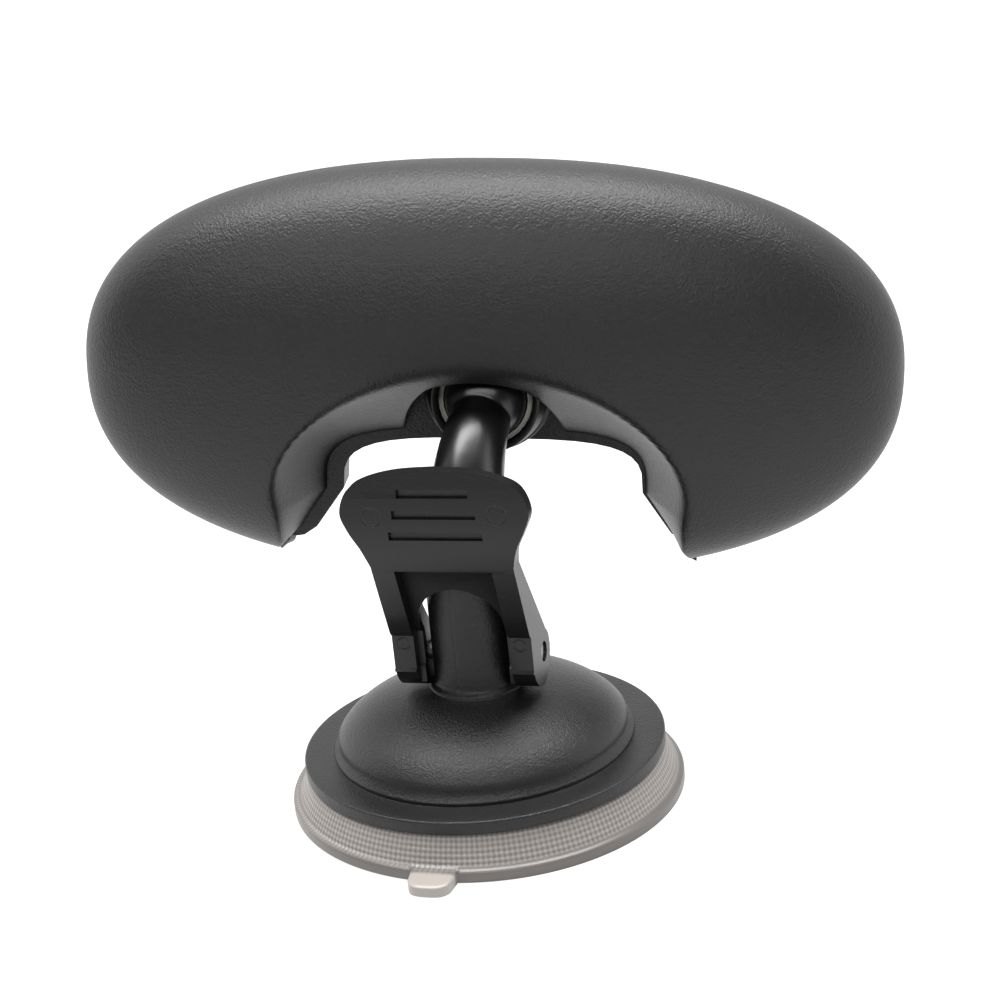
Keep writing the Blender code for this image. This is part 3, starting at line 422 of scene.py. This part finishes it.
pin_low, pin_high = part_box("lever_pin")
SLOT_PLAY, PIN_RISE = 0.3 * MM, 2.3 * MM
cut_away(base, (-0.02, pin_low[1] - SLOT_PLAY, pin_low[2] - SLOT_PLAY),
         (0.02, pin_high[1] + SLOT_PLAY, pin_high[2] + PIN_RISE + SLOT_PLAY))
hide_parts("base_shell")

# ---------------------------------------------------------------- bent arm and ball
# A solid, polished black arm plugs into the stem, bends over and ends in a ball. It is moulded in
# one with the ball, and a screw from behind holds its spigot.

BALL = Vector(joints["head_yaw"]["pos_m"])
BALL_RADIUS = 9.0 * MM
BEND_RADIUS, BEND = 31.0 * MM, np.radians(65)
NECK_RADIUS = 6.3 * MM
ARM_END_EASE = 0.35 * MM

gloss_black = Finish("polished_black", (0.003, 0.003, 0.0031), 0.2, Specular_IOR_Level=0.5)
flow = gloss_black.noise(9 * MM, 2.0)
gloss_black.relief(flow + gloss_black.noise(0.7 * MM, 2.0) * 0.12, 0.10 * MM)
gloss_black.set("Roughness", 0.24 + flow * 0.1)

straight = (BALL.y - BEND_RADIUS * (1 - np.cos(BEND))) / np.sin(BEND)
bend_start = BALL.z - BEND_RADIUS * np.sin(BEND) - straight * np.cos(BEND)
low_end = STEM_TOP + 0.3 * MM
turns = np.linspace(0.0, BEND, 60)
path = np.stack([BEND_RADIUS * (1 - np.cos(turns)), bend_start + BEND_RADIUS * np.sin(turns)], axis=1)
path = np.concatenate([[[0.0, low_end - 4 * MM]], path]) if bend_start > low_end else path
heading = np.array([np.sin(BEND), np.cos(BEND)])
to_ball = np.linspace(straight, -BALL_RADIUS, 60)[1:]
path = np.concatenate([path, np.array([BALL.y, BALL.z]) - to_ball[:, None] * heading])
path = path[path[:, 1] >= low_end - 1e-9]
tangent = np.gradient(path, axis=0)
tangent /= np.linalg.norm(tangent, axis=1)[:, None]
tangent[0] = (0.0, 1.0)
gone = np.concatenate([[0.0], np.cumsum(np.linalg.norm(np.diff(path, axis=0), axis=1))])
share = np.clip(gone / (gone[-1] - 1.5 * BALL_RADIUS), 0.0, 1.0)
thick = STEM_RADIUS + (NECK_RADIUS - STEM_RADIUS) * share
offset = (path - np.array([BALL.y, BALL.z])) @ heading
sphere = np.sqrt(np.clip(BALL_RADIUS ** 2 - offset ** 2, 0.0, None))
sphere[share < 0.7] = 0.0
thick = np.where(offset > -0.7 * BALL_RADIUS, sphere, np.maximum(thick, sphere))
path = np.concatenate([path[:1], path[:1], path])
tangent = np.concatenate([tangent[:1], tangent[:1], tangent])
thick = np.concatenate([[1e-6, thick[0] - ARM_END_EASE], thick])
path[2, 1] += ARM_END_EASE
around = np.linspace(0.0, 2 * np.pi, 96, endpoint=False)[:, None]
side = np.stack([-tangent[:, 1], tangent[:, 0]], axis=1)
arm_points = np.stack([
    thick[None] * np.cos(around),
    path[:, 0][None] + thick[None] * np.sin(around) * side[:, 0][None],
    path[:, 1][None] + thick[None] * np.sin(around) * side[:, 1][None]], axis=-1)
arm = surface("bent_arm", arm_points, gloss_black, "base", wrap=(True, False))
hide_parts("ball_arm")

# ---------------------------------------------------------------- rear housing
# The back of the head is a deep black shell with a leather-like grain. A flared notch in its lower
# edge clears the arm, and a round hollow inside the notch takes the ball's socket.

HEAD_YAW, HEAD_ROLL = np.radians(10.2), np.radians(-4.8)
HALF_WIDTH, HALF_HEIGHT, CENTRE_Y, SQUARE = 90.4 * MM, 46.8 * MM, 3.0 * MM, 2.34
RIM, DEPTH = -13.0 * MM, 27.0 * MM
WALL = 1.8 * MM
RELIEF_RADIUS, RELIEF_DEPTH, RELIEF_SLOPE = 21.5 * MM, 24.0 * MM, 2.0
RELIEF_CAP_RADIUS = 22.0 * MM
HALVINGS = 36
NOTCH_SHIFT = -1.6 * MM
ARCH_EASE = 1.3 * MM
NOTCH_DEEP = DEPTH - 1.5 * MM

head_pose = (Matrix.Translation(BALL) @ Matrix.Rotation(HEAD_YAW, 4, "Z")
             @ Matrix.Rotation(np.pi / 2, 4, "X") @ Matrix.Rotation(HEAD_ROLL, 4, "Z"))

FLARE_DOWN = np.array([0.0, 9.5, 13.8, 15.5]) * MM
FLARE_OUT = np.array([0.0, 6.5, 12.5, 20.0]) * MM


def notch_sizes(deep):
    """Half width, top, start of the flare, squareness and flare's share at a depth of 0 to 1."""
    return ((36 + 10 * deep) * MM, (-11.4 + 19.7 * deep) * MM, (-26 + 1.5 * deep) * MM,
            3.6 - 1.6 * np.clip(deep, 0, 1), np.clip(1 - deep, 0.2, 1))


def notch_wall(x, y):
    """Height of the flared notch over (x, y): the depth whose arch passes there, by halving."""
    low, high = np.full(x.shape, -0.3), np.full(x.shape, 1.9)
    for _ in range(HALVINGS):
        middle = (low + high) / 2
        half, top, flare, square, spread = notch_sizes(middle)
        upper = (np.abs(x) / half) ** square + np.clip((y - flare) / (top - flare), 0, 9) ** square
        lower = np.abs(x) / (half + spread * np.interp(flare - y, FLARE_DOWN, FLARE_OUT))
        outside = np.where(y > flare, upper, lower) > 1
        low, high = np.where(outside, middle, low), np.where(outside, high, middle)
    return RIM + low * NOTCH_DEEP


def shell_height(x, y):
    """The dome of the head and the notch's wall, eased into each other."""
    reach = (np.abs(x) / HALF_WIDTH) ** SQUARE + (np.abs(y - CENTRE_Y) / HALF_HEIGHT) ** SQUARE
    dome = RIM + 0.3 * MM + DEPTH * np.clip(1 - reach, 0, 1) ** (1 / SQUARE)
    wall = notch_wall(x - NOTCH_SHIFT, y)
    both = np.minimum(dome, wall)
    return both - ARCH_EASE * np.log(np.exp((both - dome) / ARCH_EASE)
                                     + np.exp((both - wall) / ARCH_EASE))


def even(line, count):
    """A polyline read at even steps of its length."""
    gone = np.concatenate([[0.0], np.cumsum(np.hypot(*np.diff(line, axis=0).T))])
    at = np.linspace(0.0, gone[-1], count)
    return np.stack([np.interp(at, gone, line[:, 0]), np.interp(at, gone, line[:, 1])], axis=1)


half, top, flare, square, _ = notch_sizes(0.0)
bearing = np.linspace(np.pi / 2, np.arctan2(top, np.sqrt(RELIEF_RADIUS ** 2 - top ** 2)), 90)
near, far = np.full(bearing.shape, 0.5 * MM), np.full(bearing.shape, RELIEF_RADIUS)
for _ in range(HALVINGS):
    reach = (near + far) / 2
    hollow = RIM + np.minimum(RELIEF_SLOPE * (RELIEF_RADIUS - reach),
                              RELIEF_DEPTH * np.sqrt(1 - (reach / RELIEF_CAP_RADIUS) ** 2))
    open_here = shell_height(reach * np.cos(bearing) + NOTCH_SHIFT,
                             reach * np.sin(bearing)) < hollow
    near, far = np.where(open_here, reach, near), np.where(open_here, far, reach)
hollow_edge = np.stack([near * np.cos(bearing), near * np.sin(bearing)], axis=1)
corner = np.linspace(0.0, np.pi / 2, 200)[::-1]
arch = np.stack([half * np.cos(corner) ** (2 / square),
                 flare + (top - flare) * np.sin(corner) ** (2 / square)], axis=1)
arch = arch[arch[:, 0] > hollow_edge[-1, 0]]
down = np.linspace(0.0, FLARE_DOWN[-1], 400)
flared = np.stack([half + np.interp(down, FLARE_DOWN, FLARE_OUT), flare - down], axis=1)
flared = flared[(flared[:, 0] / HALF_WIDTH) ** SQUARE
                + (np.abs(flared[:, 1] - CENTRE_Y) / HALF_HEIGHT) ** SQUARE < 0.999]
tip_x, tip_y = flared[-1]
inner_edge = np.concatenate([hollow_edge, arch, flared[1:]])
rim_turn = np.linspace(np.pi / 2, -np.pi / 2, 900)
rim_x = HALF_WIDTH * np.abs(np.cos(rim_turn)) ** (2 / SQUARE)
rim_up = np.sin(rim_turn)
rim_y = CENTRE_Y + HALF_HEIGHT * np.sign(rim_up) * np.abs(rim_up) ** (2 / SQUARE)
on_head = (rim_y > CENTRE_Y) | (rim_x > tip_x)
outer_edge = np.concatenate([np.stack([rim_x, rim_y], axis=1)[on_head], [[tip_x, tip_y]]])
inside, outside = even(inner_edge, 150), even(outer_edge, 150)
inside = np.concatenate([inside[:0:-1] * [-1, 1], inside])
outside = np.concatenate([outside[:0:-1] * [-1, 1], outside])
step = 1 - (1 - np.linspace(0.0, 1.0, 130)) ** 1.9
plan = inside[:, None] + (outside - inside)[:, None] * step[None, :, None]
plan[..., 0] += NOTCH_SHIFT * (1 - step)
shell_points = np.concatenate([plan, shell_height(plan[..., 0], plan[..., 1])[..., None]], axis=-1)

head_black = grained("leather_grained_black", (0.0035, 0.0036, 0.0037), 0.42, 0.5 * MM, 0.17 * MM)
shell = surface("rear_shell", shell_points, head_black, "head", outward=(0.0, 0.0, 1.0),
                pose=head_pose)
thickness = shell.modifiers.new("wall", "SOLIDIFY")
thickness.thickness = WALL
thickness.offset = -1.0
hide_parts("rear_housing")

# ---------------------------------------------------------------- socket collar
# A stepped black ring, screwed to the frame from the front, traps the ball and its nylon liner.

satin_black = Finish("satin_black", (0.0042, 0.0042, 0.0043), 0.34, Specular_IOR_Level=0.36)
mould_flow = satin_black.noise(7 * MM, 2.0)
satin_black.relief(mould_flow + satin_black.noise(0.5 * MM, 2.0) * 0.35, 0.07 * MM)
satin_black.set("Roughness", 0.29 + mould_flow * 0.12)

COLLAR_LIP, SEAT_LOW, SEAT_RADIUS = 2.6 * MM, -4.5 * MM, 10.6 * MM
lean = np.linspace(np.arcsin(SEAT_LOW / SEAT_RADIUS), np.arcsin(COLLAR_LIP / SEAT_RADIUS), 14)
collar_profile = np.concatenate([
    rounded([(11.2 * MM, COLLAR_LIP, 0), (11.8 * MM, COLLAR_LIP, 0.4 * MM),
             (11.8 * MM, -0.4 * MM, 0.4 * MM), (13.2 * MM, -2.9 * MM, 0.5 * MM),
             (13.2 * MM, -6.2 * MM, 0.4 * MM),
             (14.5 * MM, -6.8 * MM, 0.4 * MM), (14.5 * MM, -12.7 * MM, 0.2 * MM),
             (9.7 * MM, -12.7 * MM, 0)]),
    SEAT_RADIUS * np.stack([np.cos(lean), np.sin(lean)], axis=1)])
collar = surface("collar_ring", turned(refine(collar_profile, 1 * MM), 128), satin_black, "head",
                 wrap=(True, True), pose=head_pose)
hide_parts("socket_collar")

# ---------------------------------------------------------------- frame, glass and inner pieces
# The front frame is moulded in the same grained black. The convex glass is silvered and glued to a
# foam pad; nylon and plated steel pieces are hidden behind it and inside the base.


def dress(finish, *nodes):
    """Gives CAD nodes a finish."""
    for node in nodes:
        mesh_object = frame["nodes"][node]
        for slot in mesh_object.material_slots:
            slot.material = finish.material


silver = Finish("silvered_glass", (0.86, 0.87, 0.88), 0.02, Metallic=1.0, Coat_Weight=1.0,
                Coat_Roughness=0.01)
haze = silver.noise(30 * MM, 3.0)
silver.set("Roughness", 0.012 + haze * 0.02)
nylon = Finish("natural_nylon", (0.32, 0.31, 0.28), 0.42, Subsurface_Weight=0.1,
               Subsurface_Scale=0.002)
nylon.relief(nylon.noise(0.8 * MM, 2.0), 0.03 * MM)
nylon.shade(nylon.noise(6 * MM, 3.0).between(0.45, 0.8), (0.27, 0.26, 0.23))
steel = Finish("zinc_plated_steel", (0.62, 0.62, 0.63), 0.3, Metallic=1.0)
drawn = steel.noise(0.6 * MM, 3.0)
steel.set("Roughness", 0.2 + drawn * 0.25)
steel.relief(drawn, 0.02 * MM)
foam = Finish("black_foam", (0.035, 0.035, 0.035), 0.9)
foam.relief(foam.node("ShaderNodeTexVoronoi", {}, Vector=foam.place(), Scale=1 / (0.8 * MM)),
            0.3 * MM)


def eased(node, name, finish, body, ease):
    """A CAD node's shape, merged and flattened into whole faces, with its sharp edges eased."""
    shape = bmesh.new()
    shape.from_mesh(frame["nodes"][node].data)
    bmesh.ops.remove_doubles(shape, verts=shape.verts, dist=1e-6)
    bmesh.ops.dissolve_limit(shape, angle_limit=np.radians(0.6), verts=shape.verts,
                             edges=shape.edges)
    mesh = bpy.data.meshes.new(name)
    shape.to_mesh(mesh)
    shape.free()
    mesh.materials.clear()
    mesh.materials.append(finish.material)
    mesh.shade_smooth()
    mesh.set_sharp_from_angle(angle=np.radians(30))
    piece = bpy.data.objects.new(name, mesh)
    bpy.context.scene.collection.objects.link(piece)
    edge = piece.modifiers.new("ease", "BEVEL")
    edge.width, edge.segments, edge.limit_method = ease, 3, "ANGLE"
    edge.angle_limit = np.radians(32)
    edge.harden_normals = True
    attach(piece, body)
    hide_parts(node)


# Four ejector pins left shallow rings on the lever's front.
lever_black = Finish("lever_black", (0.0042, 0.0042, 0.0043), 0.36, Specular_IOR_Level=0.36)
lever_grain = lever_black.noise(0.5 * MM, 2.0)
across, _, height = lever_black.parts(lever_black.place())
marks = lever_grain * 0.35
for x, z, ring in ((-13.2, 69.6, 1.9), (13.2, 70.2, 1.9), (-12.6, 37.6, 1.3), (12.6, 37.6, 1.3)):
    off = ((across - x * MM) * (across - x * MM) + (height - z * MM) * (height - z * MM)) ** 0.5
    off = off - ring * MM
    marks = marks - (off * off).between(0.0, (0.22 * MM) ** 2) * -0.8
lever_black.relief(marks, 0.09 * MM)
lever_black.set("Roughness", 0.31 + lever_grain * 0.10)
eased("mirror_frame", "front_frame", head_black, "head", 0.5 * MM)
eased("lever", "thumb_lever", lever_black, "lever", 0.6 * MM)
dress(silver, "mirror_glass")
dress(foam, "mirror_pad")
dress(nylon, "cup_insert", "plunger", "ball_liner", "pressure_cup")
dress(steel, "plunger_spring", "pressure_spring", "lever_pin", "arm_screw",
      *[f"housing_screw_{i}" for i in (1, 2, 3, 4)], *[f"collar_screw_{i}" for i in (1, 2, 3)])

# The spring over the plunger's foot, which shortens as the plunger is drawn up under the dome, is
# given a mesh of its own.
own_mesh(frame["nodes"]["plunger_spring"])
